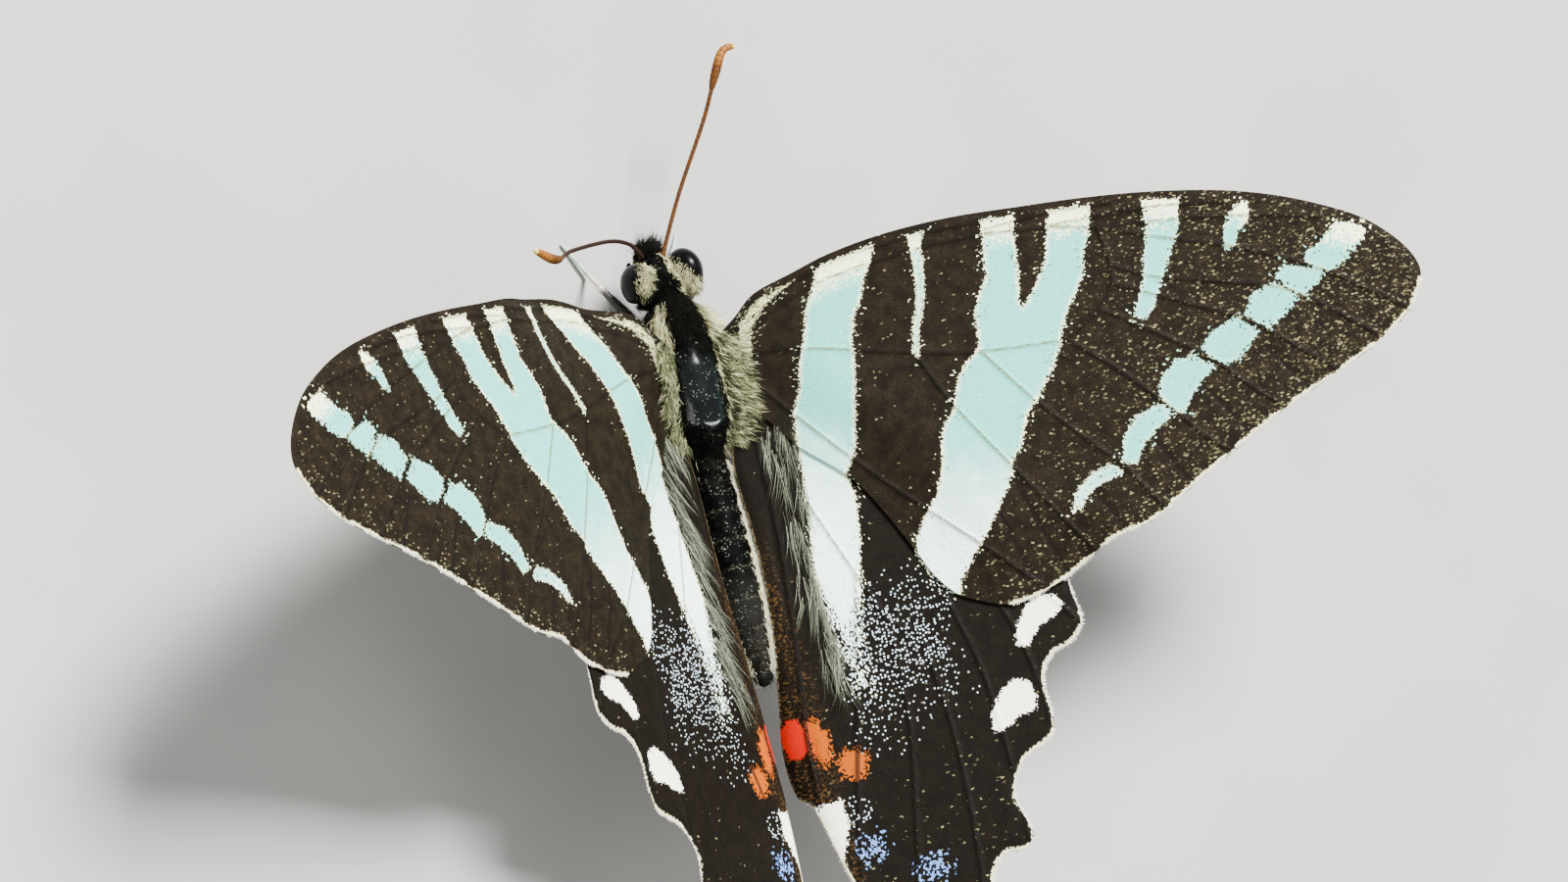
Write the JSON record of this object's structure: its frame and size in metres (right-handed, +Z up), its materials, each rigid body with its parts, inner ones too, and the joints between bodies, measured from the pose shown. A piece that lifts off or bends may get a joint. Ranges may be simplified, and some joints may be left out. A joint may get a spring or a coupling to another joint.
{
  "type": "zebra swallowtail butterfly",
  "caption": "Life-size zebra swallowtail butterfly standing on its feet, wings half raised, with long tails and clubbed antennae.",
  "frame": {"origin": "centre of the bounding box's base, on the surface the feet stand on", "axes": "+Z up, head towards -Y, tails towards +Y, the animal's left wings towards +X"},
  "size_m": [0.0766, 0.0775, 0.0266],
  "materials": {
    "wing_scales": "matte scales, pale stripes on brown-black",
    "body_fur": "fine hair, black with cream side stripes",
    "eye": "glossy black",
    "feeler": "satin orange-brown, ringed",
    "leg_scales": "satin, black to pale green-white"
  },
  "bodies": {
    "root": {"head": "body_fur", "thorax": "body_fur", "abdomen": "body_fur", "palp_left": "body_fur", "palp_right": "body_fur", "eye_left": "eye", "eye_right": "eye", "antenna_left": "feeler", "antenna_right": "feeler", "proboscis": "feeler", "forewing_left": "wing_scales", "forewing_right": "wing_scales", "hindwing_left": "wing_scales", "hindwing_right": "wing_scales", "tail_left": "wing_scales", "tail_right": "wing_scales", "foreleg_left_femur": "leg_scales", "foreleg_left_tibia": "leg_scales", "foreleg_left_tarsus": "leg_scales", "foreleg_right_femur": "leg_scales", "foreleg_right_tibia": "leg_scales", "foreleg_right_tarsus": "leg_scales", "midleg_left_femur": "leg_scales", "midleg_left_tibia": "leg_scales", "midleg_left_tarsus": "leg_scales", "midleg_right_femur": "leg_scales", "midleg_right_tibia": "leg_scales", "midleg_right_tarsus": "leg_scales", "hindleg_left_femur": "leg_scales", "hindleg_left_tibia": "leg_scales", "hindleg_left_tarsus": "leg_scales", "hindleg_right_femur": "leg_scales", "hindleg_right_tibia": "leg_scales", "hindleg_right_tarsus": "leg_scales"}
  },
  "joints": []
}
